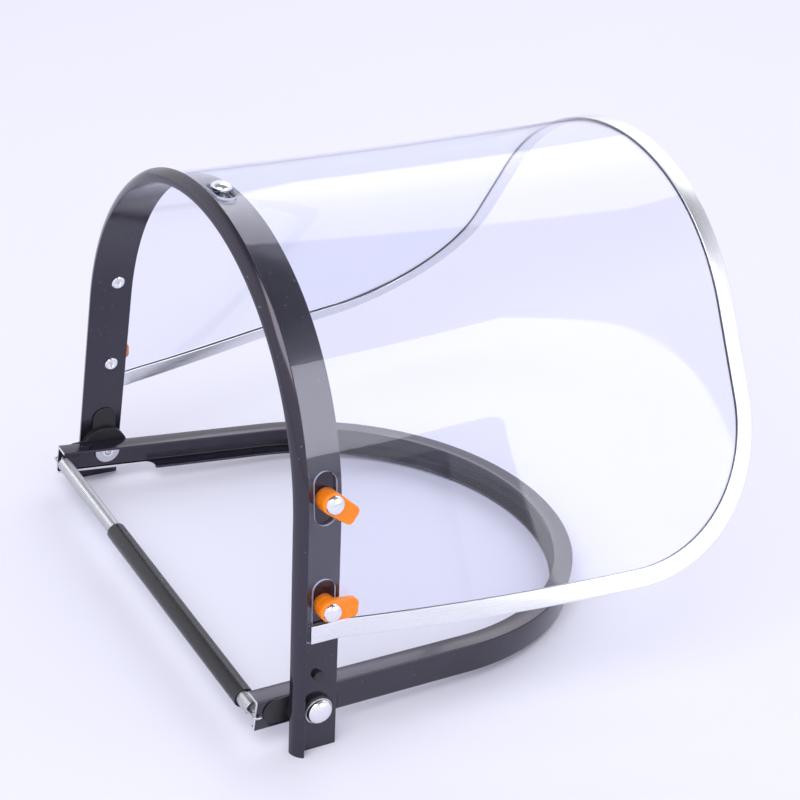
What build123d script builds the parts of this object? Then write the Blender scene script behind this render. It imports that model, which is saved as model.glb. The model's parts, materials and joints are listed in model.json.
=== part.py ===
"""Face shield for a hard hat: a clear visor on a hinged arch, and the brim bracket that carries it.

Frame, in millimetres: +Z is up, the wearer looks along -Y, and +X is the wearer's left.
The part stands as it does on a table, with the arch upright on its two cut leg ends and the
front of the brim loop touching the surface. The origin is the bottom centre of the whole part.
"""
import os
from math import asin, atan2, cos, degrees, hypot, pi, radians, sin, sqrt, tan

from build123d import *

os.makedirs("parts", exist_ok=True)

# ---------------------------------------------------------------- driving dimensions
# visor arch: an extruded strip bent into a hoop with a rolled lip along its rear edge
ARCH_RADIUS = 100.0          # outer face of the strip
ARCH_CENTRE = 68.45          # height of the hoop's centre above the pivot
ARCH_SPLAY = 6.55            # degrees that each leg leans outward on its way down
WEB = 1.8                    # strip thickness
WEB_FRONT = 8.7              # front edge, forward of the pivot
WEB_REAR = 10.8              # rear edge, behind the pivot
LIP_RADIUS = 6.2             # outer radius of the rolled lip
LIP_WALL = 1.6
LIP_SWEEP = 68.0             # degrees of roll
LEG_DROP = 17.8              # leg end below the pivot
HOLE_LINE = 1.4              # latches and crown stud sit this far forward of the pivot
LATCH_HEIGHTS = {"lower": 44.65, "upper": 87.7}

# brim loop: a channel that opens inward, bent into a long U
LOOP_HALF_WIDTH = 97.8
LOOP_LENGTHENING = 1.06      # front half is this much longer than a half circle
LOOP_CENTRE = 71.7           # forward of the pivot
LOOP_SPLAY = 3.45            # degrees that the straight legs spread towards the rear
LOOP_REAR = 23.0             # cut ends, behind the pivot
LOOP_HEIGHT = 13.5
LOOP_WALL = 1.2
LOOP_FLANGE = 8.0
LOOP_BELOW_PIVOT = 2.5       # middle of the channel below the pivot axis
NOTCH_FRONT = 22.5           # lower flange is cut back from the rear end to here
NOTCH_STUB = 2.6             # what is left of the lower flange in the notch

# visor sheet and its edge channel
SHEET = 1.0
SHEET_STAND_OFF = 0.55       # the edge channel's inner wall lies between sheet and arch
SHEET_REAR = 7.4             # rear edge, behind the pivot
SHEET_FRONT = 197.2          # front edge, forward of the pivot
SHEET_HALF_REAR = 196.0      # from crown to lower edge, along the sheet, at the arch
SHEET_HALF_FRONT = 200.4
CORNER = 65.0                # radius of the two front corners
FRONT_SPLAY = 31.0           # degrees that the sides lean outward at the front edge
FRONT_RADIUS = 91.8          # the crown is a little tighter at the front edge
FRONT_RISE = 4.8             # and a little higher
FLARE_EASE = 1.9             # how early the sides start to lean outward
TRIM_WALL = 0.55
TRIM_DEPTH = 7.0
TRIM_REAR = 4.0              # the channel stops short of the sheet's rear corners
SLOT_LENGTH = 21.0
SLOT_WIDTH = 9.5
CROWN_SLOT_LENGTH = 17.0
CROWN_SLOT_WIDTH = 8.5

# pivot stack
PIVOT_SHAFT = 2.5            # radius
PIVOT_BORE = 2.56            # running bore in what turns on it
PIVOT_HOLE = 2.52            # hole in what it is clinched to
DETENT_RADIUS = 10.5
DETENT_ARM = 14.6
DETENT_ARM_RADIUS = 5.5
INNER_PLATE = 1.7            # thickness of the loop's plate at the pivot
PLATE_GAP = 0.2
PEG_RADIUS = 2.0
PEG_PROUD = 1.5              # how far the outer plate's peg stands out of the leg
SPACER_RADIUS = 6.25
SPACER_EDGE = 0.5            # thinnest place of the black spacer
HEAD_WASHER_RADIUS = 5.7
HEAD_WASHER = 0.8
HEAD_RADIUS = 5.3
HEAD_HEIGHT = 3.0
TAIL_WASHER_RADIUS = 5.85
TAIL_WASHER = 1.1
TAIL_WASHER_FLAT = 2.85      # flat of the washer above the axis, under the loop's upper flange
TAIL_RADIUS = 2.9
TAIL = 0.9

# latches
LATCH_RADIUS = 4.4
LATCH_REACH = 11.5
LATCH_WIDTH = 7.4
LATCH_TOP = 8.0
LATCH_WING_BASE = 4.3
LATCH_BORE = 2.15
LATCH_SHAFT = 2.1
LATCH_HEAD_RADIUS = 3.7
LATCH_HEAD_HEIGHT = 2.2
LATCH_TAIL_RADIUS = 3.0
LATCH_TAIL = 0.9
TAIL_BASE = WEB + 0.06       # a flat tail just clears the curved strip
WING_ANGLES = {                 # degrees above straight forward
    ("right", "upper"): -38.0,
    ("right", "lower"): -3.0,
    ("left", "upper"): -62.0,
    ("left", "lower"): 5.0,
}

# tension spring and its sleeve
SPRING_BACK = 21.8           # spring axis behind the pivot
SPRING_RADIUS = 3.2
SPRING_WIRE = 1.0
SPRING_HALF = 98.2           # half the coiled length
HOOK_WIRE_RADIUS = 0.55
HOOK_HOLE_BACK = 20.5
HOOK_HOLE_RADIUS = 1.0
SLEEVE_RADIUS = 4.2
SLEEVE_BORE = 3.5
SLEEVE_RIGHT = -90.8
SLEEVE_LEFT = 36.1

SIDES = {"right": -1, "left": 1}

# ---------------------------------------------------------------- placement
channel_bottom = LOOP_BELOW_PIVOT + LOOP_HEIGHT / 2
loop_front = LOOP_CENTRE + LOOP_HALF_WIDTH * LOOP_LENGTHENING
# the loop tips forward until the lower edge of its front meets the surface
loop_tilt = degrees(asin(LEG_DROP / hypot(loop_front, channel_bottom)) - atan2(channel_bottom, loop_front))
pivot_z = LEG_DROP
sleeve_back = SPRING_BACK * cos(radians(loop_tilt)) + LOOP_BELOW_PIVOT * sin(radians(loop_tilt))
rear_reach = sleeve_back + SLEEVE_RADIUS
front_reach = SHEET_FRONT + TRIM_WALL
pivot_y = (front_reach - rear_reach) / 2

# upright plane through the pivot axis: x across, y up, normal forward
arch_plane = Plane(origin=(0, pivot_y, pivot_z), x_dir=(1, 0, 0), z_dir=(0, -1, 0))
# side view: x forward, y up
side_plane = Plane(origin=(0, pivot_y, pivot_z), x_dir=(0, -1, 0), z_dir=(-1, 0, 0))
# the bracket's own plane: x across, y backward, normal up
bracket_plane = Plane(
    origin=(0, pivot_y, pivot_z),
    x_dir=(1, 0, 0),
    z_dir=(0, -sin(radians(loop_tilt)), cos(radians(loop_tilt))),
)
channel_plane = bracket_plane.offset(-LOOP_BELOW_PIVOT)


# ---------------------------------------------------------------- shared geometry
def hoop_corner(radius, centre, splay):
    """Where the hoop's arc meets its straight leg: half width and height above the pivot."""
    return radius * cos(radians(splay)), centre + radius * sin(radians(splay))


def leg_face(height, offset=0.0):
    """Half width of the arch's leg at a height above the pivot, offset outward from its outer face."""
    width, top = hoop_corner(ARCH_RADIUS + offset, ARCH_CENTRE, ARCH_SPLAY)
    return width + (top - height) * tan(radians(ARCH_SPLAY))


def face_plane(height, side, stand_off=0.0):
    """Plane on the arch's outer face on the hole line: x forward, normal outward."""
    corner_height = hoop_corner(ARCH_RADIUS, ARCH_CENTRE, ARCH_SPLAY)[1]
    if height <= corner_height:
        lean = radians(ARCH_SPLAY)
        width = leg_face(height)
    else:
        lean = asin((height - ARCH_CENTRE) / ARCH_RADIUS)
        width = ARCH_RADIUS * cos(lean)
    origin = (side * width, pivot_y - HOLE_LINE, pivot_z + height)
    plane = Plane(origin=origin, x_dir=(0, -1, 0), z_dir=(side * cos(lean), 0, sin(lean)))
    return plane.offset(stand_off)


def pivot_plane(half_width, side):
    """Plane square to the pivot axis at a half width: normal outward, x forward."""
    return Plane(origin=(side * half_width, pivot_y, pivot_z), x_dir=(0, -1, 0), z_dir=(side, 0, 0))


def leg_plane(side, offset=0.0):
    """Plane of a leg's outer face, normal outward."""
    lean = radians(ARCH_SPLAY)
    plane = Plane(
        origin=(side * leg_face(0), pivot_y, pivot_z),
        x_dir=(0, -1, 0),
        z_dir=(side * cos(lean), 0, sin(lean)),
    )
    return plane.offset(offset)


def loop_half_width(back, inset=0.0):
    """Half width of the loop's straight leg at a distance behind the pivot."""
    across = LOOP_HALF_WIDTH - inset
    along = across * LOOP_LENGTHENING
    slope = tan(radians(LOOP_SPLAY)) / LOOP_LENGTHENING
    corner_forward = LOOP_CENTRE + along * sin(radians(LOOP_SPLAY))
    return across * cos(radians(LOOP_SPLAY)) + (corner_forward + back) * slope


def loop_leg_plane(side):
    """Plane of the loop's outer face beside the pivot, normal outward."""
    slope = atan2(loop_half_width(1) - loop_half_width(0), 1)
    normal = bracket_plane.x_dir * (side * cos(slope)) - bracket_plane.y_dir * sin(slope)
    origin = bracket_plane.from_local_coords(Vector(side * loop_half_width(0), 0, 0))
    return Plane(origin=origin, x_dir=bracket_plane.z_dir, z_dir=normal)


def loop_outline(inset, rear):
    """Line, half ellipse and line along the loop, inset from its outer face."""
    across = LOOP_HALF_WIDTH - inset
    along = across * LOOP_LENGTHENING
    arc = EllipticalCenterArc(
        (0, -LOOP_CENTRE), across, along, start_angle=180 + LOOP_SPLAY, arc_size=180 - 2 * LOOP_SPLAY
    )
    right_end = (-loop_half_width(rear, inset), rear)
    left_end = (loop_half_width(rear, inset), rear)
    Line(right_end, arc @ 0)
    Line(arc @ 1, left_end)
    return right_end, left_end


def loop_strip(plane, inset, width, rear, thickness):
    """A flat strip of the loop, extruded up from a plane."""
    with BuildSketch(plane) as strip:
        with BuildLine():
            right_outer, left_outer = loop_outline(inset, rear)
            right_inner, left_inner = loop_outline(inset + width, rear)
            Line(right_outer, right_inner)
            Line(left_outer, left_inner)
        make_face()
    extrude(strip.sketch, amount=thickness)


def detent_block(plane, arm_direction, thickness):
    """Round plate with one straight arm and a pivot hole, extruded from a plane square to the pivot axis."""
    arm = (DETENT_ARM * cos(arm_direction), DETENT_ARM * sin(arm_direction))
    with BuildSketch(plane) as outline:
        Circle(DETENT_RADIUS)
        with Locations(arm):
            Circle(DETENT_ARM_RADIUS)
        with Locations(Location((arm[0] / 2, arm[1] / 2), degrees(arm_direction))):
            Rectangle(DETENT_ARM, 2 * DETENT_ARM_RADIUS)
        Circle(PIVOT_HOLE, mode=Mode.SUBTRACT)
    extrude(outline.sketch, amount=thickness)


def axis_of(plane):
    """The plane's normal as an axis."""
    return Axis(plane.origin, plane.z_dir)


def domed_head(plane, radius, height):
    """Low round rivet head standing on a plane: a cap of a large sphere."""
    ball = (radius**2 + height**2) / (2 * height)
    with Locations(plane.offset(height - ball).location):
        Sphere(ball, arc_size1=degrees(asin((ball - height) / ball)), align=None)


def visor_shape(forward):
    """Splay in degrees, crown radius, crown centre and half length of the sheet, forward of the pivot."""
    reach = max(0.0, forward - WEB_FRONT) / (SHEET_FRONT - WEB_FRONT)
    flare = 1 - max(0.0, 1 - reach) ** FLARE_EASE
    splay = ARCH_SPLAY + (FRONT_SPLAY - ARCH_SPLAY) * flare
    radius = ARCH_RADIUS + (FRONT_RADIUS - ARCH_RADIUS) * reach**2
    centre = ARCH_CENTRE + ARCH_RADIUS - radius + FRONT_RISE * reach**2
    half = SHEET_HALF_REAR + (SHEET_HALF_FRONT - SHEET_HALF_REAR) * reach
    return splay, radius, centre, half


def visor_section(forward, inner, outer, inset):
    """Cross-section of a layer of the visor at a distance forward of the pivot."""
    splay, radius, centre, half = visor_shape(forward)
    leg = half - inset - radius * radians(90 - splay)
    along = (sin(radians(splay)), -cos(radians(splay)))
    with BuildSketch(arch_plane.offset(forward)) as section:
        with BuildLine():
            ends = []
            for offset in (outer, inner):
                width, height = hoop_corner(radius + offset, centre, splay)
                end = (width + leg * along[0], height + leg * along[1])
                Line((-end[0], end[1]), (-width, height))
                ThreePointArc((-width, height), (0, centre + radius + offset), (width, height))
                Line((width, height), end)
                ends.append(end)
            Line(ends[0], ends[1])
            Line((-ends[0][0], ends[0][1]), (-ends[1][0], ends[1][1]))
        make_face()
    return section.sketch


def lower_edge(forward):
    """Height of the sheet's lower edge above the pivot, at a distance forward of it."""
    splay, radius, centre, half = visor_shape(forward)
    leg = half - radius * radians(90 - splay)
    return centre + radius * sin(radians(splay)) - leg * cos(radians(splay))


def visor_layer(inner, outer, inset, rear):
    """A layer of the visor between two offsets from the arch's face, cut to the visor's outline."""
    front = SHEET_FRONT - inset
    extrude(visor_section(-rear, inner, outer, inset), amount=rear + WEB_FRONT)
    steps = 5
    stations = [WEB_FRONT + (front - WEB_FRONT) * step / steps for step in range(steps + 1)]
    loft([visor_section(forward, inner, outer, inset) for forward in stations])
    # round the two front corners, seen from the side
    corner_forward = SHEET_FRONT - CORNER
    squash = cos(radians(FRONT_SPLAY))
    low = lower_edge(corner_forward)
    across = CORNER - inset
    up = (CORNER - inset) * squash
    centre = (corner_forward, low + CORNER * squash)
    with BuildSketch(side_plane) as corner_cut:
        with BuildLine():
            arc = EllipticalCenterArc(centre, across, up, start_angle=270, arc_size=90)
            below = (centre[0], centre[1] - up - 40)
            Line(arc @ 0, below)
            outside = (front + 10, below[1])
            Line(below, outside)
            Line(outside, (front + 10, centre[1]))
            Line((front + 10, centre[1]), arc @ 1)
        make_face()
    extrude(corner_cut.sketch, amount=200, both=True, mode=Mode.SUBTRACT)


def save(builder, name):
    """Label a finished sub-part and write it."""
    builder.part.label = name
    export_step(builder.part, f"parts/{name}.step")


# ---------------------------------------------------------------- visor arch
corner_width, corner_height = hoop_corner(ARCH_RADIUS, ARCH_CENTRE, ARCH_SPLAY)
path_drop = LEG_DROP + 4

with BuildPart() as visor_arch:
    with BuildLine(arch_plane) as hoop:
        Line((-leg_face(-path_drop), -path_drop), (-corner_width, corner_height))
        ThreePointArc(
            (-corner_width, corner_height), (0, ARCH_CENTRE + ARCH_RADIUS), (corner_width, corner_height)
        )
        Line((corner_width, corner_height), (leg_face(-path_drop), -path_drop))
    # section of the strip: x forward, y inward
    with BuildSketch(Plane(origin=hoop.line @ 0, x_dir=(0, -1, 0), z_dir=hoop.line % 0)):
        with BuildLine():
            lip_centre = (-WEB_REAR + LIP_RADIUS, WEB)
            inner_radius = LIP_RADIUS - LIP_WALL
            outer_roll = CenterArc(lip_centre, LIP_RADIUS, 180, LIP_SWEEP)
            inner_roll = CenterArc(
                lip_centre,
                inner_radius,
                180 + degrees(asin(WEB / inner_radius)),
                LIP_SWEEP - degrees(asin(WEB / inner_radius)),
            )
            Line(outer_roll @ 0, (WEB_FRONT, WEB))
            Line((WEB_FRONT, WEB), (WEB_FRONT, 0))
            Line((WEB_FRONT, 0), inner_roll @ 0)
            Line(inner_roll @ 1, outer_roll @ 1)
        make_face()
    sweep(path=hoop.line)
    split(bisect_by=Plane.XY, keep=Keep.TOP)
    # pivot holes and peg holes run through both legs
    with BuildSketch(side_plane):
        Circle(PIVOT_BORE)
        with Locations((0, DETENT_ARM)):
            Circle(PEG_RADIUS + 0.1)
    extrude(amount=130, both=True, mode=Mode.SUBTRACT)
    for side in SIDES.values():
        for height in LATCH_HEIGHTS.values():
            with BuildSketch(face_plane(height, side, 1)):
                Circle(LATCH_SHAFT)
            extrude(amount=-6, mode=Mode.SUBTRACT)
    with BuildSketch(Plane.XY.offset(pivot_z + ARCH_CENTRE + ARCH_RADIUS - 4)):
        with Locations((0, pivot_y - HOLE_LINE)):
            Circle(LATCH_SHAFT)
    extrude(amount=8, mode=Mode.SUBTRACT)
save(visor_arch, "visor_arch")

# ---------------------------------------------------------------- visor sheet
with BuildPart() as visor_sheet:
    visor_layer(SHEET_STAND_OFF, SHEET_STAND_OFF + SHEET, 0, SHEET_REAR)
    for side in SIDES.values():
        for height in LATCH_HEIGHTS.values():
            with BuildSketch(face_plane(height, side, -1)):
                SlotOverall(SLOT_LENGTH, SLOT_WIDTH, rotation=90)
            extrude(amount=6, mode=Mode.SUBTRACT)
    with BuildSketch(Plane.XY.offset(pivot_z + ARCH_CENTRE + ARCH_RADIUS - 2)):
        with Locations((0, pivot_y - HOLE_LINE)):
            SlotOverall(CROWN_SLOT_LENGTH, CROWN_SLOT_WIDTH)
    extrude(amount=6, mode=Mode.SUBTRACT)
save(visor_sheet, "visor_sheet")

# ---------------------------------------------------------------- edge trim
channel_outer = SHEET_STAND_OFF + SHEET + TRIM_WALL
with BuildPart(mode=Mode.PRIVATE) as trim_window:
    visor_layer(-1.5, channel_outer + 1.5, TRIM_DEPTH, SHEET_REAR)
with BuildPart(mode=Mode.PRIVATE) as trim_groove:
    visor_layer(SHEET_STAND_OFF, SHEET_STAND_OFF + SHEET, 0, SHEET_REAR)
with BuildPart() as edge_trim:
    visor_layer(0, channel_outer, -TRIM_WALL, TRIM_REAR)
    add(trim_window.part, mode=Mode.SUBTRACT)
    add(trim_groove.part, mode=Mode.SUBTRACT)
save(edge_trim, "edge_trim")

# ---------------------------------------------------------------- crown stud
crown_plane = Plane(origin=(0, pivot_y - HOLE_LINE, pivot_z + ARCH_CENTRE + ARCH_RADIUS))
with BuildPart() as crown_stud:
    with BuildSketch(crown_plane):
        Circle(3.2)
    extrude(amount=1.9)
    with BuildSketch(crown_plane.offset(-TAIL_BASE)):
        Circle(LATCH_SHAFT)
    extrude(amount=TAIL_BASE)
    with BuildSketch(crown_plane.offset(-TAIL_BASE - LATCH_TAIL)):
        Circle(LATCH_TAIL_RADIUS)
    extrude(amount=LATCH_TAIL)
    domed_head(crown_plane.offset(1.9), 4.3, 2.6)
save(crown_stud, "crown_stud")

# ---------------------------------------------------------------- latches and their rivets
for side_name, side in SIDES.items():
    for place, height in LATCH_HEIGHTS.items():
        base = face_plane(height, side)
        wing_angle = -side * WING_ANGLES[(side_name, place)]
        with BuildPart() as latch:
            with BuildSketch(base.offset(0.1)):
                Circle(LATCH_RADIUS)
            extrude(amount=LATCH_TOP - 0.1)
            with BuildSketch(base.offset(LATCH_WING_BASE)):
                Circle(LATCH_RADIUS)
                with Locations(Location((0, 0), wing_angle)):
                    with Locations((LATCH_REACH - LATCH_RADIUS, 0)):
                        RectangleRounded(2 * LATCH_RADIUS, LATCH_WIDTH, 2.2)
                make_hull()
            extrude(amount=LATCH_TOP - LATCH_WING_BASE)
            fillet(latch.faces().sort_by(axis_of(base))[-1].edges(), 0.5)
            with BuildSketch(base):
                Circle(LATCH_BORE)
            extrude(amount=LATCH_TOP + 1, mode=Mode.SUBTRACT)
        save(latch, f"latch_{side_name}_{place}")

        with BuildPart() as latch_rivet:
            with BuildSketch(base.offset(-TAIL_BASE)):
                Circle(LATCH_SHAFT)
            extrude(amount=TAIL_BASE + LATCH_TOP + 0.1)
            domed_head(base.offset(LATCH_TOP + 0.1), LATCH_HEAD_RADIUS, LATCH_HEAD_HEIGHT)
            with BuildSketch(base.offset(-TAIL_BASE - LATCH_TAIL)):
                Circle(LATCH_TAIL_RADIUS)
            extrude(amount=LATCH_TAIL)
            with BuildSketch(base.offset(-TAIL_BASE - LATCH_TAIL)):
                Circle(1.3)
            extrude(amount=1.6, mode=Mode.SUBTRACT)
        save(latch_rivet, f"latch_rivet_{side_name}_{place}")

# ---------------------------------------------------------------- brim loop
with BuildPart() as brim_loop:
    loop_strip(channel_plane.offset(-LOOP_HEIGHT / 2), 0, LOOP_WALL, LOOP_REAR, LOOP_HEIGHT)
    loop_strip(channel_plane.offset(LOOP_HEIGHT / 2 - LOOP_WALL), 0, LOOP_FLANGE, LOOP_REAR, LOOP_WALL)
    loop_strip(channel_plane.offset(-LOOP_HEIGHT / 2), 0, LOOP_FLANGE, LOOP_REAR, LOOP_WALL)
    for side in SIDES.values():
        # the lower flange is cut back beside the pivot, with a rounded front end
        with BuildSketch(channel_plane.offset(-LOOP_HEIGHT / 2 - 1)):
            with BuildLine():
                rear_outer = (side * (loop_half_width(LOOP_REAR + 5) - NOTCH_STUB), LOOP_REAR + 5)
                front_outer = (side * (loop_half_width(-NOTCH_FRONT) - NOTCH_STUB), -NOTCH_FRONT)
                rear_inner = (rear_outer[0] - side * 20, LOOP_REAR + 5)
                front_inner = (front_outer[0] - side * 20, -NOTCH_FRONT)
                Polyline(rear_outer, front_outer, front_inner, rear_inner, close=True)
            make_face()
        extrude(amount=1 + LOOP_WALL + 0.01, mode=Mode.SUBTRACT)
    for side in SIDES.values():
        for back, radius in ((0, PIVOT_HOLE), (DETENT_ARM, PEG_RADIUS), (HOOK_HOLE_BACK, HOOK_HOLE_RADIUS)):
            lift = 0 if back < HOOK_HOLE_BACK else -LOOP_BELOW_PIVOT
            centre = bracket_plane.from_local_coords(Vector(side * 90, back, lift))
            with BuildSketch(Plane(origin=centre, x_dir=bracket_plane.y_dir, z_dir=(side, 0, 0))):
                Circle(radius)
            extrude(amount=25, mode=Mode.SUBTRACT)
save(brim_loop, "brim_loop")

# ---------------------------------------------------------------- pivot stacks
plate_split = loop_half_width(0) + INNER_PLATE
spacer_top = leg_face(0) + SPACER_RADIUS * tan(radians(ARCH_SPLAY)) + SPACER_EDGE
head_base = spacer_top + 0.1 + HEAD_WASHER
tail_washer_face = loop_half_width(0) - LOOP_WALL - 0.45

for side_name, side in SIDES.items():
    # plate that turns with the arch: flat inside, and its back follows the leaning leg
    up = pi / 2 if side < 0 else -pi / 2
    with BuildPart() as outer_plate:
        detent_block(pivot_plane(plate_split + PLATE_GAP, side), up, 8)
        split(bisect_by=leg_plane(side, -WEB), keep=Keep.BOTTOM)
        with BuildSketch(pivot_plane(plate_split + PLATE_GAP, side)):
            Circle(PIVOT_BORE)
        extrude(amount=8, mode=Mode.SUBTRACT)
        peg_plane = Plane(
            origin=(side * (plate_split + PLATE_GAP), pivot_y, pivot_z + DETENT_ARM),
            x_dir=(0, -1, 0),
            z_dir=(side, 0, 0),
        )
        with BuildSketch(peg_plane):
            Circle(PEG_RADIUS)
        extrude(amount=leg_face(DETENT_ARM) + PEG_PROUD - plate_split - PLATE_GAP)
    save(outer_plate, f"detent_plate_outer_{side_name}")

    # plate that stays on the loop, its arm to the rear
    rear = radians(180 - side * loop_tilt) if side > 0 else radians(180 + loop_tilt)
    with BuildPart() as inner_plate:
        detent_block(pivot_plane(plate_split - 8, side), rear, 8)
        split(bisect_by=loop_leg_plane(side), keep=Keep.TOP)
        peg_at = bracket_plane.from_local_coords(Vector(side * (plate_split - 0.5), DETENT_ARM, 0))
        with BuildSketch(Plane(origin=peg_at, x_dir=(0, -1, 0), z_dir=(-side, 0, 0))):
            Circle(PEG_RADIUS - 0.1)
        extrude(amount=INNER_PLATE + LOOP_WALL - 0.3)
    save(inner_plate, f"detent_plate_inner_{side_name}")

    with BuildPart() as spacer:
        with BuildSketch(pivot_plane(leg_face(0) - 3, side)):
            Circle(SPACER_RADIUS)
            Circle(PIVOT_BORE, mode=Mode.SUBTRACT)
        extrude(amount=spacer_top - leg_face(0) + 3)
        split(bisect_by=leg_plane(side), keep=Keep.TOP)
    save(spacer, f"pivot_spacer_{side_name}")

    with BuildPart() as head_washer:
        with BuildSketch(pivot_plane(head_base - HEAD_WASHER, side)):
            Circle(HEAD_WASHER_RADIUS)
            Circle(PIVOT_HOLE, mode=Mode.SUBTRACT)
        extrude(amount=HEAD_WASHER)
    save(head_washer, f"head_washer_{side_name}")

    with BuildPart() as tail_washer:
        with BuildSketch(pivot_plane(tail_washer_face - TAIL_WASHER, side)):
            Circle(TAIL_WASHER_RADIUS)
            Circle(PIVOT_HOLE, mode=Mode.SUBTRACT)
        extrude(amount=TAIL_WASHER)
        split(bisect_by=bracket_plane.offset(TAIL_WASHER_FLAT), keep=Keep.BOTTOM)
    save(tail_washer, f"tail_washer_{side_name}")

    tail_end = tail_washer_face - TAIL_WASHER - TAIL
    with BuildPart() as pivot_rivet:
        with BuildSketch(pivot_plane(tail_end, side)):
            Circle(PIVOT_SHAFT)
        extrude(amount=head_base - tail_end)
        domed_head(pivot_plane(head_base, side), HEAD_RADIUS, HEAD_HEIGHT)
        with BuildSketch(pivot_plane(tail_end, side)):
            Circle(TAIL_RADIUS)
        extrude(amount=TAIL)
        with BuildSketch(pivot_plane(tail_end, side)):
            Circle(1.5)
        extrude(amount=2.2, mode=Mode.SUBTRACT)
    save(pivot_rivet, f"pivot_rivet_{side_name}")

# ---------------------------------------------------------------- tension spring and sleeve
spring_centre = channel_plane.from_local_coords(Vector(0, SPRING_BACK, 0))
spring_plane = Plane(origin=spring_centre, x_dir=bracket_plane.y_dir, z_dir=(1, 0, 0))

with BuildPart() as tension_spring:
    with BuildSketch(spring_plane.offset(-SPRING_HALF)):
        Circle(SPRING_RADIUS)
        Circle(SPRING_RADIUS - SPRING_WIRE, mode=Mode.SUBTRACT)
    extrude(amount=2 * SPRING_HALF)
    for side in SIDES.values():
        with BuildSketch(spring_plane.offset(side * (SPRING_HALF - 1))):
            Circle(SPRING_RADIUS - SPRING_WIRE)
        extrude(amount=side)
        web_face = loop_half_width(HOOK_HOLE_BACK)
        behind = LOOP_REAR + HOOK_WIRE_RADIUS + 0.35
        outside = web_face + HOOK_WIRE_RADIUS + 0.35
        route = [
            (SPRING_HALF - 0.5, SPRING_BACK),
            (SPRING_HALF + 2.4, behind),
            (outside + 0.3, behind),
            (outside, HOOK_HOLE_BACK),
            (web_face - LOOP_WALL - 0.6, HOOK_HOLE_BACK),
        ]
        with BuildLine(channel_plane) as hook:
            FilletPolyline(*[(side * across, back) for across, back in route], radius=0.9)
        with BuildSketch(Plane(origin=hook.line @ 0, z_dir=hook.line % 0)):
            Circle(HOOK_WIRE_RADIUS)
        sweep(path=hook.line)
save(tension_spring, "tension_spring")

with BuildPart() as spring_sleeve:
    with BuildSketch(spring_plane.offset(SLEEVE_RIGHT)):
        Circle(SLEEVE_RADIUS)
        Circle(SLEEVE_BORE, mode=Mode.SUBTRACT)
    extrude(amount=SLEEVE_LEFT - SLEEVE_RIGHT)
save(spring_sleeve, "spring_sleeve")
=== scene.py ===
import json
from math import acos, asin, atan2, ceil, cos, pi, radians, sin, sqrt, tan

import bmesh
import bpy
import numpy as np
from mathutils import Matrix, Vector
from mathutils.geometry import delaunay_2d_cdt


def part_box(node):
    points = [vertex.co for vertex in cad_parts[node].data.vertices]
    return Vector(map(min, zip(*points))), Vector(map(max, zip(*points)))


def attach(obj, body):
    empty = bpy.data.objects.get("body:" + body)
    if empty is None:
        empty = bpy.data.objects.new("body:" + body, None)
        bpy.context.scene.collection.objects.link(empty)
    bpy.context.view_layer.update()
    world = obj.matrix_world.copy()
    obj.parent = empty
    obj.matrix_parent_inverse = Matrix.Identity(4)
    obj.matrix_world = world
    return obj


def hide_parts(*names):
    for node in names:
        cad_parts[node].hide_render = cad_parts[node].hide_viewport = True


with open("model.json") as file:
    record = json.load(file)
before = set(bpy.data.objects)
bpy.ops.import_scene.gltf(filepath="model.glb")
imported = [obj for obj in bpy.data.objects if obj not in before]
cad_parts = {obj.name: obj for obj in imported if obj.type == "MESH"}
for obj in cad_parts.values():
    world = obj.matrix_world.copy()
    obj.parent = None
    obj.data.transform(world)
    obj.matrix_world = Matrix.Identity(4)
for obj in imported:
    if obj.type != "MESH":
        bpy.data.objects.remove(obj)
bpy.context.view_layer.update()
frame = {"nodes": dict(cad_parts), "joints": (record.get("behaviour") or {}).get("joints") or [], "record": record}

# ------------------------------------------------------------------ dimensions, in millimetres as in the CAD
MM = 0.001
ARCH_RADIUS, ARCH_CENTRE, ARCH_SPLAY = 100.0, 68.45, radians(6.55)
WEB, WEB_FRONT, WEB_REAR = 1.8, 8.7, 10.8
LIP_RADIUS, LIP_WALL, LIP_SWEEP = 6.2, 1.6, radians(68)
LEG_DROP = 17.8
HOLE_LINE = 1.4
LOOP_HALF_WIDTH, LOOP_LENGTHENING, LOOP_CENTRE = 97.8, 1.06, 71.7
LOOP_SPLAY, LOOP_REAR, LOOP_HEIGHT, LOOP_WALL, LOOP_FLANGE = radians(3.45), 23.0, 13.5, 1.2, 8.0
LOOP_BELOW_PIVOT = 2.5
NOTCH_FRONT, NOTCH_STUB, NOTCH_ROUND = 22.5, 2.6, 4.0
SHEET, STAND_OFF, SHEET_REAR, SHEET_FRONT = 1.0, 0.55, 7.4, 197.2
HALF_REAR, HALF_FRONT, CORNER = 196.0, 200.4, 65.0
FRONT_SPLAY, FRONT_RADIUS, FRONT_RISE = radians(31), 91.8, 4.8
SLOT_LENGTH, SLOT_WIDTH = 21.0, 9.5
CROWN_SLOT_LENGTH, CROWN_SLOT_WIDTH = 17.0, 8.5
TRIM_WALL, TRIM_DEPTH, TRIM_REAR, TRIM_SPACING = 0.55, 7.0, 4.0, 2.0
PIVOT_BORE, DETENT_ARM, PEG_HOLE = 2.56, 14.6, 2.1
HOOK_HOLE_BACK, HOOK_HOLE = 20.5, 1.0
PIVOT_SHAFT, PIVOT_TAIL_RADIUS, PIVOT_TAIL, PIVOT_HEAD_RADIUS = 2.5, 2.9, 0.9, 5.3
LATCH_HEIGHTS = {"lower": 44.65, "upper": 87.7}
LATCH_RADIUS, LATCH_REACH, LATCH_WIDTH, LATCH_TOP = 4.4, 11.5, 7.4, 8.0
WING_BASE, LATCH_BORE, LATCH_SHAFT = 4.3, 2.15, 2.1
LATCH_HEAD_RADIUS, LATCH_HEAD_HEIGHT, LATCH_HEAD_BASE = 3.7, 2.2, 8.1
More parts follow.
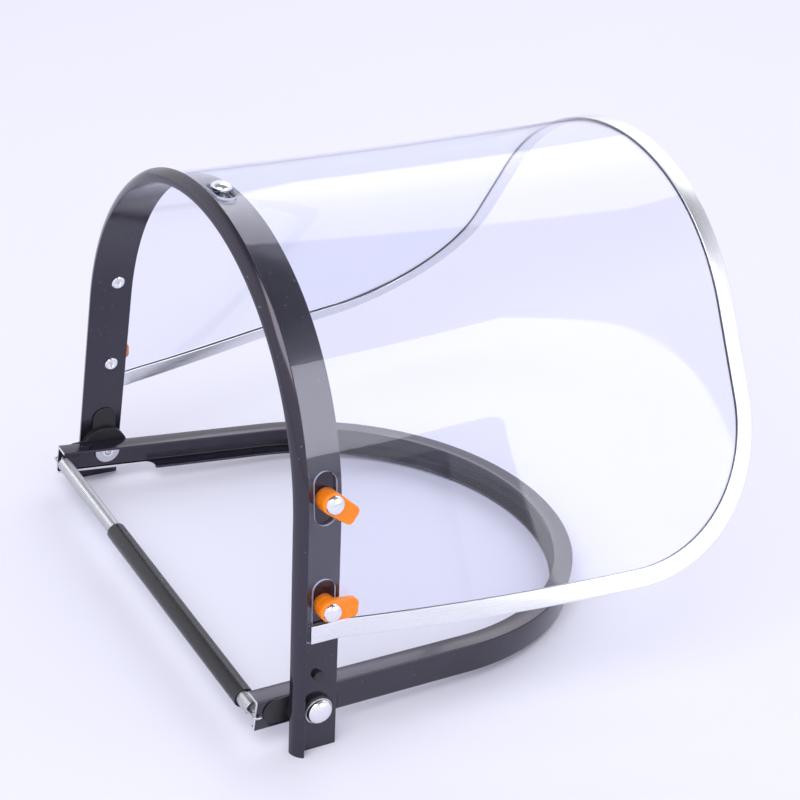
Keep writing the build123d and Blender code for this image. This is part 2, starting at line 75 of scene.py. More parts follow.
CROWN_SHOULDER, CROWN_HEAD_RADIUS, CROWN_HEAD_HEIGHT, CROWN_HEAD_BASE = 3.2, 4.3, 2.6, 1.9
TAIL_BASE = WEB + 0.06
WING_ANGLES = {
    ("right", "upper"): -38.0,
    ("right", "lower"): -3.0,
    ("left", "upper"): -62.0,
    ("left", "lower"): 5.0,
}
SPRING_BACK, SPRING_RADIUS, SPRING_WIRE, SPRING_HALF = 21.8, 3.2, 1.0, 98.2
SLEEVE_RADIUS, SLEEVE_BORE, SLEEVE_RIGHT, SLEEVE_LEFT = 4.2, 3.5, -90.8, 36.1
SIDES = {"right": -1, "left": 1}
NEARLY_0 = 1e-3                  # radius that closes a turned outline at its middle

pivot = np.array(next(j for j in frame["joints"] if j["name"] == "visor_pivot")["pos_m"])
channel_axis = next(m for m in frame["record"]["mounts"] if m["name"] == "brim_channel")["axis"]
tilt = atan2(channel_axis[2], channel_axis[1])


def arch_point(forward, across, up):
    """A point given forward of, across and above the middle of the pivot axis, in metres."""
    return pivot + MM * np.array([across, -forward, up])


def bracket_point(across, back, up):
    """The same in the tipped frame of the brim loop."""
    return pivot + MM * np.array(
        [across, back * cos(tilt) - up * sin(tilt), back * sin(tilt) + up * cos(tilt)]
    )


# ------------------------------------------------------------------ node materials
class Nodes:
    """Short calls for building a material's node tree."""

    def __init__(self, name):
        self.material = bpy.data.materials.new(name)
        self.material.use_nodes = True
        self.tree = self.material.node_tree
        self.shader = self.tree.nodes["Principled BSDF"]
        self.output = self.tree.nodes["Material Output"]

    def add(self, kind, **settings):
        node = self.tree.nodes.new(kind)
        for key, value in settings.items():
            setattr(node, key, value)
        return node

    def link(self, source, target):
        self.tree.links.new(source, target)

    def set(self, **values):
        for key, value in values.items():
            self.shader.inputs[key.replace("_", " ")].default_value = value

    def noise(self, scale, detail=3.0, stretch=None, coordinate="Object"):
        """Noise over the piece's own coordinates, in cycles per metre."""
        texture = self.add("ShaderNodeTexNoise")
        texture.inputs["Scale"].default_value = scale
        texture.inputs["Detail"].default_value = detail
        source = self.add("ShaderNodeTexCoord").outputs[coordinate]
        if stretch:
            mapping = self.add("ShaderNodeMapping")
            mapping.inputs["Scale"].default_value = stretch
            self.link(source, mapping.inputs["Vector"])
            source = mapping.outputs["Vector"]
        self.link(source, texture.inputs["Vector"])
        return texture.outputs["Fac"]

    def spread(self, source, low, high, start=0.3, end=0.7):
        """Maps a factor from start..end to low..high."""
        node = self.add("ShaderNodeMapRange")
        for key, value in (("From Min", start), ("From Max", end), ("To Min", low), ("To Max", high)):
            node.inputs[key].default_value = value
        self.link(source, node.inputs["Value"])
        return node.outputs["Result"]

    def blend(self, factor, first, second):
        """A colour between two colours."""
        node = self.add("ShaderNodeMix", data_type="RGBA")
        self.link(factor, node.inputs[0])
        for socket, colour in ((node.inputs[6], first), (node.inputs[7], second)):
            if isinstance(colour, tuple):
                socket.default_value = (*colour, 1)
            else:
                self.link(colour, socket)
        return node.outputs[2]

    def bump(self, source, depth_mm, edge_mm=0.0):
        """Bump from a factor, over normals that round the sharp edges by edge_mm."""
        node = self.add("ShaderNodeBump")
        node.inputs["Distance"].default_value = depth_mm * MM
        self.link(source, node.inputs["Height"])
        if edge_mm:
            edge = self.add("ShaderNodeBevel", samples=6)
            edge.inputs["Radius"].default_value = edge_mm * MM
            self.link(edge.outputs["Normal"], node.inputs["Normal"])
        self.link(node.outputs["Normal"], self.shader.inputs["Normal"])


def black_paint(name, edge_mm=0.0):
    """Gloss black powder coat: slight orange peel, cloudy gloss and a few pale specks of dust."""
    n = Nodes(name)
    n.set(Metallic=0.0, IOR=1.55, Coat_Weight=0.25, Coat_Roughness=0.1)
    n.set(Specular_Tint=(0.93, 0.86, 1.0, 1))
    dust = n.spread(n.noise(900, 2), 0, 1, 0.71, 0.77)
    cloudy = n.blend(n.noise(60), (0.008, 0.007, 0.015), (0.013, 0.012, 0.022))
    n.link(n.blend(dust, cloudy, (0.16, 0.16, 0.18)), n.shader.inputs["Base Color"])
    n.link(n.spread(n.noise(140, 4), 0.13, 0.22), n.shader.inputs["Roughness"])
    n.bump(n.noise(1100, 2), 0.006, edge_mm)
    return n.material


def black_plastic(name, colour, low, high, edge_mm=0.0):
    """Moulded or extruded black plastic."""
    n = Nodes(name)
    n.set(Metallic=0.0, IOR=1.5)
    paler = tuple(c * 1.7 for c in colour)
    n.link(n.blend(n.noise(250), colour, paler), n.shader.inputs["Base Color"])
    n.link(n.spread(n.noise(400, 4), low, high), n.shader.inputs["Roughness"])
    n.bump(n.noise(2600, 3), 0.02, edge_mm)
    return n.material


def bare_metal(name, colour, low, high, grain, stretch=None, coordinate="Object", edge_mm=0.0):
    """Unpainted metal, with grain along its length where it is drawn or rolled."""
    n = Nodes(name)
    n.set(Metallic=1.0)
    streaks = n.noise(grain, 4, stretch, coordinate)
    darker = tuple(c * 0.84 for c in colour)
    n.link(n.blend(streaks, darker, colour), n.shader.inputs["Base Color"])
    n.link(n.spread(streaks, low, high), n.shader.inputs["Roughness"])
    n.bump(streaks, 0.006, edge_mm)
    return n.material


def orange_plastic(name):
    """Glossy orange moulding."""
    n = Nodes(name)
    n.set(Metallic=0.0, IOR=1.42)
    n.link(n.blend(n.noise(500), (0.93, 0.21, 0.004), (1.0, 0.28, 0.008)), n.shader.inputs["Base Color"])
    n.link(n.spread(n.noise(700, 3), 0.22, 0.34), n.shader.inputs["Roughness"])
    n.bump(n.noise(900, 2), 0.010)
    return n.material


def clear_sheet(name):
    """Thin clear sheet: see-through with a faint lilac tint, and a mirror at glancing angles."""
    n = Nodes(name)
    n.set(Metallic=1.0)
    n.shader.inputs["Base Color"].default_value = (0.93, 0.94, 1.0, 1)
    n.link(n.spread(n.noise(35, 3), 0.02, 0.05), n.shader.inputs["Roughness"])
    n.bump(n.noise(14, 1), 0.05)
    through = n.add("ShaderNodeBsdfTransparent")
    n.link(n.blend(n.noise(9, 2), (0.952, 0.957, 0.996), (0.970, 0.975, 1.0)), through.inputs["Color"])
    weight = n.add("ShaderNodeLayerWeight")
    weight.inputs["Blend"].default_value = 0.5
    power = n.add("ShaderNodeMath", operation="POWER")
    power.inputs[1].default_value = 5.0
    n.link(weight.outputs["Facing"], power.inputs[0])
    mirror = n.spread(power.outputs[0], 0.04, 0.9, 0.0, 1.0)
    mix = n.add("ShaderNodeMixShader")
    n.link(mirror, mix.inputs[0])
    n.link(through.outputs["BSDF"], mix.inputs[1])
    n.link(n.shader.outputs["BSDF"], mix.inputs[2])
    n.link(mix.outputs["Shader"], n.output.inputs["Surface"])
    return n.material


def cut_edge(name):
    """The sheet's cut edge: pale blue painted into its colour, standing in for the light that the edge gathers."""
    n = Nodes(name)
    n.set(Metallic=0.0, IOR=1.58)
    # painted light: the pale blue to white colour stands in for light gathered in the clear edge
    n.link(n.blend(n.noise(700, 3), (0.50, 0.60, 1.0), (0.95, 0.96, 1.0)), n.shader.inputs["Base Color"])
    n.link(n.spread(n.noise(1200, 3), 0.2, 0.45), n.shader.inputs["Roughness"])
    n.bump(n.noise(2500, 3), 0.03)
    return n.material


BRIGHT = (0.90, 0.91, 0.94)
looks = {
    "loop_paint": black_paint("loop_paint"),
    "frame_paint": black_paint("frame_paint"),
    "raw_cut": bare_metal("raw_cut", (0.86, 0.86, 0.88), 0.3, 0.5, 1500),
    "trim": bare_metal("trim", (0.86, 0.87, 0.90), 0.20, 0.38, 1.0, (60, 5200, 1), "UV"),
    "rivet": bare_metal("rivet", BRIGHT, 0.05, 0.13, 900),
    "washer": bare_metal("washer", (0.66, 0.67, 0.70), 0.22, 0.4, 1800, edge_mm=0.15),
    "wire": bare_metal("wire", (0.60, 0.61, 0.63), 0.25, 0.42, 1.0, (400, 3000, 1), "UV"),
    "nylon": black_plastic("nylon", (0.009, 0.009, 0.011), 0.35, 0.5, 0.35),
    "tube": black_plastic("tube", (0.012, 0.012, 0.014), 0.22, 0.34),
    "orange": orange_plastic("orange"),
    "sheet": clear_sheet("sheet"),
    "sheet_edge": cut_edge("sheet_edge"),
}


# ------------------------------------------------------------------ mesh building
def piece(name, mesh_data, body, stands_for, slot, *materials):
    """An object of the part: rides a body and stands for CAD nodes."""
    obj = bpy.data.objects.new(name, mesh_data)
    bpy.context.scene.collection.objects.link(obj)
    for m in materials:
        mesh_data.materials.append(looks[m])
    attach(obj, body)
    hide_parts(stands_for)
    return obj


def finish_mesh(bm, name, sharp_degrees=35):
    """Turns a bmesh into a smooth mesh with sharp creases and outward normals."""
    bmesh.ops.remove_doubles(bm, verts=bm.verts, dist=1e-7)
    bmesh.ops.recalc_face_normals(bm, faces=bm.faces)
    mesh = bpy.data.meshes.new(name)
    bm.to_mesh(mesh)
    bm.free()
    mesh.polygons.foreach_set("use_smooth", [True] * len(mesh.polygons))
    mesh.set_sharp_from_angle(angle=radians(sharp_degrees))
    return mesh


def skin(rows, ring=False, marked=None, bm=None):
    """A bmesh through rows of points, each row a closed outline. ring joins the last row to the first.

    Without ring the two ends are capped, with material 1. marked(row, column) picks other faces for it.
    The UV map holds the distance along and around, in metres.
    """
    bm = bm or bmesh.new()
    uv = bm.loops.layers.uv.verify()
    rows = np.array(rows)
    count, width = rows.shape[:2]
    along = np.concatenate([[0], np.cumsum(np.linalg.norm(np.diff(rows.mean(1), axis=0), axis=1))])
    closed = np.concatenate([rows[0], rows[0][:1]])
    around = np.concatenate([[0], np.cumsum(np.linalg.norm(np.diff(closed, axis=0), axis=1))])
    verts = [[bm.verts.new(p) for p in row] for row in rows]
    for i in range(count if ring else count - 1):
        for j in range(width):
            k = (j + 1) % width
            after = (i + 1) % count
            face = bm.faces.new((verts[i][j], verts[i][k], verts[after][k], verts[after][j]))
            end = along[i + 1] if i + 1 < count else along[i] + 1e-3
            places = ((along[i], j), (along[i], j + 1), (end, j + 1), (end, j))
            for loop, (a, b) in zip(face.loops, places):
                loop[uv].uv = (a, around[b])
            if marked and marked(i, j):
                face.material_index = 1
    if not ring:
        for row in (verts[0], verts[-1]):
            bm.faces.new(row).material_index = 1
    return bm


def rounded(points, radii, steps=4):
    """A closed outline with each corner rounded by its own radius."""
    points = np.array(points, float)
    out = []
    for i, corner in enumerate(points):
        before, after = points[i - 1], points[(i + 1) % len(points)]
        radius = radii[i] if isinstance(radii, (list, tuple)) else radii
        if radius <= 0:
            out.append(corner)
            continue
        a = (before - corner) / np.linalg.norm(before - corner)
        b = (after - corner) / np.linalg.norm(after - corner)
        half = acos(max(-1, min(1, a @ b))) / 2
        shorter = min(np.linalg.norm(before - corner), np.linalg.norm(after - corner))
        reach = min(radius / tan(half), 0.49 * shorter)
        start, end = corner + a * reach, corner + b * reach
        for k in range(steps + 1):
            t = k / steps
            out.append((1 - t) ** 2 * start + 2 * t * (1 - t) * corner + t**2 * end)
    return out


def lathe(origin, axis, profile, segments=64, bm=None):
    """A bmesh turned round an axis. The profile is a closed run of (radius, height) in millimetres."""
    axis = np.array(axis) / np.linalg.norm(axis)
    side = np.cross(axis, (0, 1, 0))
    side /= np.linalg.norm(side)
    other = np.cross(axis, side)
    rows = []
    for k in range(segments):
        a = 2 * pi * k / segments
        outward = side * cos(a) + other * sin(a)
        rows.append([origin + MM * (r * outward + h * axis) for r, h in profile])
    return skin(rows, ring=True, bm=bm)


def tube(path, radius, sides=10, bm=None):
    """A bmesh of round wire along points in metres, radius in millimetres."""
    path = np.array(path)
    tangents = np.gradient(path, axis=0)
    tangents /= np.linalg.norm(tangents, axis=1)[:, None]
    normal = np.cross(tangents[0], (0.3, 0.2, 0.9))
    rows = []
    for p, t in zip(path, tangents):
        normal = normal - (normal @ t) * t
        normal /= np.linalg.norm(normal)
        other = np.cross(t, normal)
        angles = [2 * pi * k / sides for k in range(sides)]
        rows.append([p + MM * radius * (normal * cos(a) + other * sin(a)) for a in angles])
    return skin(rows, bm=bm)


def softened(points, rounds=3):
    """Corner cutting: a smooth path through the middle of each run."""
    points = np.array(points, float)
    for _ in range(rounds):
        cut = [points[0]]
        for a, b in zip(points[:-1], points[1:]):
            cut += [0.75 * a + 0.25 * b, 0.25 * a + 0.75 * b]
        points = np.array(cut + [points[-1]])
    return points


def cut(obj, cutter_bm):
    """Cuts the closed shapes of a bmesh out of an object, and makes the result its mesh."""
    bmesh.ops.recalc_face_normals(cutter_bm, faces=cutter_bm.faces)
    mesh = bpy.data.meshes.new("cutter")
    cutter_bm.to_mesh(mesh)
    cutter_bm.free()
    cutter = bpy.data.objects.new("cutter", mesh)
    bpy.context.scene.collection.objects.link(cutter)
    modifier = obj.modifiers.new("cut", "BOOLEAN")
    modifier.operation = "DIFFERENCE"
    modifier.solver = "EXACT"
    modifier.object = cutter
    bpy.context.view_layer.update()
    graph = bpy.context.evaluated_depsgraph_get()
    result = bpy.data.meshes.new_from_object(obj.evaluated_get(graph))
    obj.modifiers.clear()
    obj.data = result
    bpy.data.objects.remove(cutter)
    result.set_sharp_from_angle(angle=radians(35))


def rod(origin, axis, radius, length, bm):
    """A cylinder centred on a point, added to a bmesh of cutters."""
    end = length / 2
    return lathe(origin, axis, [(NEARLY_0, -end), (radius, -end), (radius, end), (NEARLY_0, end)], 40, bm)


# ------------------------------------------------------------------ visor arch
def leg_face(height, offset=0.0):
    """Half width of the leg's outer face at a height above the pivot."""
    width = (ARCH_RADIUS + offset) * cos(ARCH_SPLAY)
    top = ARCH_CENTRE + (ARCH_RADIUS + offset) * sin(ARCH_SPLAY)
    return width + (top - height) * tan(ARCH_SPLAY)


def arch_section():
    """The strip's section: (forward, outward) of the outer face, with the rolled lip."""
    centre = (-WEB_REAR + LIP_RADIUS, -WEB)
    inner = LIP_RADIUS - LIP_WALL
    start = asin(WEB / inner)
    steps = 12
    inner_roll = [start + (LIP_SWEEP - start) * k / steps for k in range(steps + 1)]
    outer_roll = [LIP_SWEEP * k / steps for k in range(steps, -1, -1)]
    points = [(WEB_FRONT, -WEB), (WEB_FRONT, 0)]
    points += [(centre[0] - inner * cos(a), centre[1] + inner * sin(a)) for a in inner_roll]
    points += [(centre[0] - LIP_RADIUS * cos(a), centre[1] + LIP_RADIUS * sin(a)) for a in outer_roll]
    radii = [0.35, 0.35] + [0.0] * steps + [0.45, 0.45] + [0.0] * (steps - 1) + [0.5]
    return rounded(points, radii)


section = arch_section()
rows = []
bottom = -LEG_DROP
corner_up = ARCH_CENTRE + ARCH_RADIUS * sin(ARCH_SPLAY)
for side in (1, -1):
    leg = [[arch_point(u, side * (leg_face(bottom) + n / cos(ARCH_SPLAY)), bottom) for u, n in section]]
    for k in range(12):
        height = -12 + (corner_up + 12) * k / 11
        lean = (side * cos(ARCH_SPLAY), sin(ARCH_SPLAY))
        middle = side * leg_face(height)
        leg.append([arch_point(u, middle + n * lean[0], height + n * lean[1]) for u, n in section])
    if side > 0:
        rows += leg
        arc_steps = 120
        for k in range(1, arc_steps):
            a = ARCH_SPLAY + (pi - 2 * ARCH_SPLAY) * k / arc_steps
            row = []
            for u, n in section:
                radius = ARCH_RADIUS + n
                row.append(arch_point(u, radius * cos(a), ARCH_CENTRE + radius * sin(a)))
            rows.append(row)
    else:
        rows += leg[::-1]
arch = piece(
    "arch",
    finish_mesh(skin(rows), "arch", 40),
    "visor_frame",
    "visor_arch",
    "black_paint_frame",
    "frame_paint",
    "raw_cut",
)
drills = bmesh.new()
rod(arch_point(0, 0, 0), (1, 0, 0), PIVOT_BORE, 240, drills)
rod(arch_point(0, 0, DETENT_ARM), (1, 0, 0), PEG_HOLE, 240, drills)


def face_frame(height, side):
    """Point on the arch's outer face on the hole line, and the outward normal."""
    lean = ARCH_SPLAY if height <= corner_up else asin((height - ARCH_CENTRE) / ARCH_RADIUS)
    width = leg_face(height) if height <= corner_up else ARCH_RADIUS * cos(lean)
    return arch_point(HOLE_LINE, side * width, height), np.array([side * cos(lean), 0, sin(lean)])


for side in SIDES.values():
    for height in LATCH_HEIGHTS.values():
        rod(*face_frame(height, side), LATCH_SHAFT + 0.02, 8, drills)
rod(arch_point(HOLE_LINE, 0, ARCH_CENTRE + ARCH_RADIUS), (0, 0, 1), LATCH_SHAFT + 0.02, 8, drills)
cut(arch, drills)


# ------------------------------------------------------------------ brim loop
def loop_half_width(back, inset=0.0):
    """Half width of the loop's straight leg at a distance behind the pivot."""
    across = LOOP_HALF_WIDTH - inset
    slope = tan(LOOP_SPLAY) / LOOP_LENGTHENING
    corner = LOOP_CENTRE + across * LOOP_LENGTHENING * sin(LOOP_SPLAY)
    return across * cos(LOOP_SPLAY) + (corner + back) * slope


def loop_section(lower_flange):
    """The channel's section: (inset from the outer face, height above its middle)."""
    top = LOOP_HEIGHT / 2
    inner = top - LOOP_WALL
    points = [(0, -top), (0, top), (LOOP_FLANGE, top), (LOOP_FLANGE, inner), (LOOP_WALL, inner)]
    points += [(LOOP_WALL, -inner), (lower_flange, -inner), (lower_flange, -top)]
    return rounded(points, [0.7, 0.7, 0.3, 0.3, 0.35, 0.35, 0.3, 0.3], 3)


def lower_flange_at(back):
    """How wide the lower flange is: cut back beside the pivot, with a rounded front end."""
    into = back + NOTCH_FRONT
    if into < 0:
        return LOOP_FLANGE
    rise = max(0.0, NOTCH_ROUND - into)
    return NOTCH_STUB + NOTCH_ROUND - sqrt(NOTCH_ROUND**2 - rise**2)


leg_backs = [LOOP_REAR, 15, 8, 0, -8, -15, -NOTCH_FRONT + 4]
leg_backs += [-NOTCH_FRONT + NOTCH_ROUND * (1 - sin(pi / 2 * k / 6)) for k in range(1, 7)]
leg_backs += [-NOTCH_FRONT - 0.02, -30, -45, -60]
stations = [("leg", -1, back) for back in leg_backs]
arc_steps = 120
for k in range(arc_steps + 1):
    stations.append(("arc", 0, pi + LOOP_SPLAY + (pi - 2 * LOOP_SPLAY) * k / arc_steps))
stations += [("leg", 1, back) for back in leg_backs[::-1]]
rows = []
notched = []
for kind, side, value in stations:
    flange = lower_flange_at(value) if kind == "leg" else LOOP_FLANGE
    notched.append(flange < LOOP_FLANGE)
    row = []
    for inset, height in loop_section(flange):
        if kind == "leg":
            across, back = side * loop_half_width(value, inset), value
        else:
            semi = LOOP_HALF_WIDTH - inset
            across, back = semi * cos(value), -LOOP_CENTRE + semi * LOOP_LENGTHENING * sin(value)
        row.append(bracket_point(across, back, height - LOOP_BELOW_PIVOT))
    rows.append(row)
columns = len(rows[0])
tip_columns = range(columns - 6, columns)


def notch_edge(row, column):
    """Faces of the lower flange's sawn edge in the notch."""
    return column in tip_columns and notched[row] and notched[min(row + 1, len(notched) - 1)]


loop = piece(
    "brim_channel",
    finish_mesh(skin(rows, marked=notch_edge), "brim_channel", 40),
    "helmet_bracket",
    "brim_loop",
    "black_paint_bracket",
    "loop_paint",
    "raw_cut",
)
drills = bmesh.new()
for side in SIDES.values():
    rod(bracket_point(side * 100, 0, 0), (1, 0, 0), PIVOT_BORE, 14, drills)
    rod(bracket_point(side * 100, DETENT_ARM, 0), (1, 0, 0), 2.0, 14, drills)
    rod(bracket_point(side * 100, HOOK_HOLE_BACK, -LOOP_BELOW_PIVOT), (1, 0, 0), HOOK_HOLE, 14, drills)
cut(loop, drills)


# ------------------------------------------------------------------ clear sheet
def visor_point(u, s, n):
    """A point of the sheet: u forward of the pivot, s along the section from the crown, n outward."""
    reach = max(0.0, u - WEB_FRONT) / (SHEET_FRONT - WEB_FRONT)
    flare = 1 - max(0.0, 1 - reach) ** 1.9
    # the sheet bends smoothly over the front edge of the strip
    ease = min(1.0, max(0.0, (u - WEB_FRONT + 2) / 9))
    flare *= ease * ease * (3 - 2 * ease)
    splay = ARCH_SPLAY + (FRONT_SPLAY - ARCH_SPLAY) * flare
    radius = ARCH_RADIUS + (FRONT_RADIUS - ARCH_RADIUS) * reach**2
    centre = ARCH_CENTRE + ARCH_RADIUS - radius + FRONT_RISE * reach**2
    arc = radius * (pi / 2 - splay)
    if abs(s) <= arc:
        a = pi / 2 - s / radius
        return arch_point(u, (radius + n) * cos(a), centre + (radius + n) * sin(a))
    beyond = abs(s) - arc
    across = (radius + n) * cos(splay) + beyond * sin(splay)
    up = centre + (radius + n) * sin(splay) - beyond * cos(splay)
    return arch_point(u, across if s > 0 else -across, up)


def half_length(u):
    """Distance along the sheet from the crown to its lower edge."""
    return HALF_REAR + (HALF_FRONT - HALF_REAR) * max(0.0, u - WEB_FRONT) / (SHEET_FRONT - WEB_FRONT)


corner_u = SHEET_FRONT - CORNER
corner_s = half_length(corner_u) - CORNER


def edge_path(rear, spacing):
    """The sheet's edge from one rear corner round the front to the other: (u, s, inward u, inward s)."""
    path = []
    for side in (-1, 1):
        half = []
        count = ceil((corner_u + rear) / spacing)
        for k in range(count):
            u = -rear + (corner_u + rear) * k / count
            half.append((u, side * half_length(u), 0.0, -side))
        count = ceil(CORNER * pi / 2 / spacing)
        for k in range(count + 1):
            a = pi / 2 * k / count
            u, s = corner_u + CORNER * sin(a), corner_s + CORNER * cos(a)
            half.append((u, side * s, -sin(a), -side * cos(a)))
        if side < 0:
            path += half
            count = ceil(2 * corner_s / spacing)
            path += [(SHEET_FRONT, -corner_s + 2 * corner_s * k / count, -1.0, 0.0) for k in range(1, count)]
        else:
            path += half[::-1]
    return path


def slot_outline(u, s, length_u, length_s):
    """A round-ended slot in the flat sheet."""
    radius = min(length_u, length_s) / 2
    run_u, run_s = length_u / 2 - radius, length_s / 2 - radius
    points = []
    for k in range(32):
        a = 2 * pi * (k + 0.5) / 32
        du = radius * cos(a) + (run_u if cos(a) > 0 else -run_u)
        ds = radius * sin(a) + (run_s if sin(a) > 0 else -run_s)
        points.append((u + du, s + ds))
    return points


def along_face(height):
    """Distance along the sheet from the crown to a height on the arch."""
    if height > corner_up:
        return ARCH_RADIUS * (pi / 2 - asin((height - ARCH_CENTRE) / ARCH_RADIUS))
    return ARCH_RADIUS * (pi / 2 - ARCH_SPLAY) + (corner_up - height) / cos(ARCH_SPLAY)


def inside(points, polygon):
    """Which points lie in a closed polygon."""
    polygon = np.array(polygon)
    ax, ay = polygon.T
    bx, by = np.roll(polygon, -1, axis=0).T
    x, y = points[:, :1], points[:, 1:]
    crosses = ((ay > y) != (by > y)) & (x < (bx - ax) * (y - ay) / np.where(by == ay, 1e-12, by - ay) + ax)
    return crosses.sum(1) % 2 == 1


REAR_CORNER = 3.0
rim = [(u, s) for u, s, _, _ in edge_path(SHEET_REAR - REAR_CORNER, 3.0)]
for side in (1, -1):
    turn = [pi / 2 * k / 5 for k in range(1, 6)]
    low = half_length(-SHEET_REAR)
    arc = []
    for a in turn:
        u, s = -SHEET_REAR + REAR_CORNER * (1 - sin(a)), low - REAR_CORNER * (1 - cos(a))
        arc.append((u, side * s))
    rim += arc if side > 0 else arc[::-1]
    if side > 0:
        count = 130
        rim += [(-SHEET_REAR, (low - REAR_CORNER) * (1 - 2 * k / count)) for k in range(1, count)]
outlines = [rim]
for side in (-1, 1):
    for height in LATCH_HEIGHTS.values():
        outlines.append(slot_outline(HOLE_LINE, side * along_face(height), SLOT_WIDTH, SLOT_LENGTH))
outlines.append(slot_outline(HOLE_LINE, 0, CROWN_SLOT_WIDTH, CROWN_SLOT_LENGTH))
points = []
edges = []
for outline in outlines:
    first = len(points)
    points += outline
    edges += [(first + k, first + (k + 1) % len(outline)) for k in range(len(outline))]
border = np.array(points)
GRID = 3.5
grid = []
for i in range(ceil((SHEET_FRONT + SHEET_REAR) / GRID)):
    for j in range(-ceil(HALF_FRONT / GRID), ceil(HALF_FRONT / GRID) + 1):
        grid.append((-SHEET_REAR + GRID * (i + 0.5), GRID * (j + 0.5 * (i % 2))))
grid = np.array(grid)
keep = inside(grid, rim)
for outline in outlines[1:]:
    keep &= ~inside(grid, outline)
near = np.sqrt(((grid[:, None, :] - border[None]) ** 2).sum(2)).min(1)
grid = grid[keep & (near > 1.6)]
flat = [Vector(p) for p in points] + [Vector(p) for p in grid]
flat, _, triangles, *_ = delaunay_2d_cdt(flat, edges, [], 0, 1e-6)
flat = np.array([tuple(p) for p in flat])
triangles = np.array(triangles)
middles = flat[triangles].mean(1)
keep = inside(middles, rim)
for outline in outlines[1:]:
    keep &= ~inside(middles, outline)
triangles = triangles[keep]
bm = bmesh.new()
layers = []
for n in (STAND_OFF + SHEET, STAND_OFF):
    layers.append([bm.verts.new(visor_point(u, s, n)) for u, s in flat])
count = {}
for a, b, c in triangles:
    bm.faces.new((layers[0][a], layers[0][b], layers[0][c]))
    bm.faces.new((layers[1][c], layers[1][b], layers[1][a]))
    for pair in ((a, b), (b, c), (c, a)):
        key = tuple(sorted(pair))
        count[key] = count.get(key, 0) + 1
for (a, b), uses in count.items():
    if uses == 1:
        bm.faces.new((layers[0][a], layers[0][b], layers[1][b], layers[1][a])).material_index = 1
bmesh.ops.delete(bm, geom=[v for v in bm.verts if not v.link_faces], context="VERTS")
mesh = finish_mesh(bm, "clear_visor", 30)
piece("clear_visor", mesh, "visor_frame", "visor_sheet", "clear_sheet", "sheet", "sheet_edge")

# ------------------------------------------------------------------ edge trim
inner_gap = STAND_OFF - 0.01
outer_gap = STAND_OFF + SHEET + 0.01
outer_top = STAND_OFF + SHEET + TRIM_WALL
channel = [(TRIM_DEPTH, outer_gap), (TRIM_DEPTH, outer_top), (-TRIM_WALL, outer_top), (-TRIM_WALL, 0)]
channel += [(TRIM_DEPTH, 0), (TRIM_DEPTH, inner_gap), (0, inner_gap), (0, outer_gap)]
channel = rounded(channel, [0.03, 0.5, 0.6, 0.6, 0.5, 0.03, 0, 0], 5)
rows = []
for u, s, du, ds in edge_path(TRIM_REAR, TRIM_SPACING):
    rows.append([visor_point(u + du * q, s + ds * q, n) for q, n in channel])
mesh = finish_mesh(skin(rows), "trim", 40)
piece("trim", mesh, "visor_frame", "edge_trim", "bright_trim", "trim", "raw_cut")


# ------------------------------------------------------------------ rivets, stud
def head_profile(radius, height, base, edge=0.45):
    """A low dome with a rolled edge, from the rim to the middle: (radius, height)."""
    profile = [(radius - 0.25, base), (radius, base + 0.25)]
    for k in range(13):
        a = pi / 2 * k / 12
        out = (radius - 0.05) * cos(a) ** 0.85 if k < 12 else NEARLY_0
        profile.append((out, base + edge + (height - edge) * sin(a)))
    return profile


def tail_profile(radius, thickness, base, hollow, depth):
    """A rolled tail with a hollow in it, from the middle to the rim, going down from base."""
    end = base - thickness
    profile = [(NEARLY_0, end + depth), (hollow * 0.8, end + depth * 0.8)]
    profile += [(hollow, end + 0.25), (hollow + 0.25, end)]
    return profile + [(radius - 0.35, end), (radius, end + 0.35), (radius, base - 0.05), (radius - 0.1, base)]


def box_span(node):
    """A node's lowest and highest distance from the middle, in millimetres."""
    low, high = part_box(node)
    return min(abs(low.x), abs(high.x)) / MM, max(abs(low.x), abs(high.x)) / MM


# the tail clinched inside the strip, the same on the latch rivets and the crown stud
strip_tail = tail_profile(3.0, 0.9, -TAIL_BASE, 1.3, 1.6) + [(LATCH_SHAFT, -TAIL_BASE)]
for side_name, side in SIDES.items():
    name = f"pivot_rivet_{side_name}"
    inner, outer = box_span(name)
    washer_top = box_span(f"head_washer_{side_name}")[1]
    tail_base = inner + PIVOT_TAIL
    profile = tail_profile(PIVOT_TAIL_RADIUS, PIVOT_TAIL, tail_base, 1.5, 2.2)
    profile += [(PIVOT_SHAFT, tail_base), (PIVOT_SHAFT, washer_top)]
    profile += head_profile(PIVOT_HEAD_RADIUS, outer - washer_top, washer_top)
    bm = lathe(pivot * (0, 1, 1), (side, 0, 0), profile)
    piece(f"pivot_{side_name}", finish_mesh(bm, name), "helmet_bracket", name, "polished_rivet", "rivet")
    for place, height in LATCH_HEIGHTS.items():
        name = f"latch_rivet_{side_name}_{place}"
        point, normal = face_frame(height, side)
        profile = strip_tail + [(LATCH_SHAFT, LATCH_HEAD_BASE)]
        profile += head_profile(LATCH_HEAD_RADIUS, LATCH_HEAD_HEIGHT, LATCH_HEAD_BASE)
        mesh = finish_mesh(lathe(point, normal, profile), name)
        pin = f"latch_pin_{side_name}_{place}"
        piece(pin, mesh, "visor_frame", name, "polished_rivet", "rivet")

profile = strip_tail + [(LATCH_SHAFT, 0.02), (CROWN_SHOULDER, 0.02), (CROWN_SHOULDER, CROWN_HEAD_BASE)]
profile += head_profile(CROWN_HEAD_RADIUS, CROWN_HEAD_HEIGHT, CROWN_HEAD_BASE)
crown = arch_point(HOLE_LINE, 0, ARCH_CENTRE + ARCH_RADIUS)
mesh = finish_mesh(lathe(crown, (0, 0, 1), profile), "crown_pin")
piece("crown_pin", mesh, "visor_frame", "crown_stud", "polished_rivet", "rivet")

# ------------------------------------------------------------------ latches
LATCH_POINTS = 96
PILLOW = 1.0                     # radius of the wing's upper edge


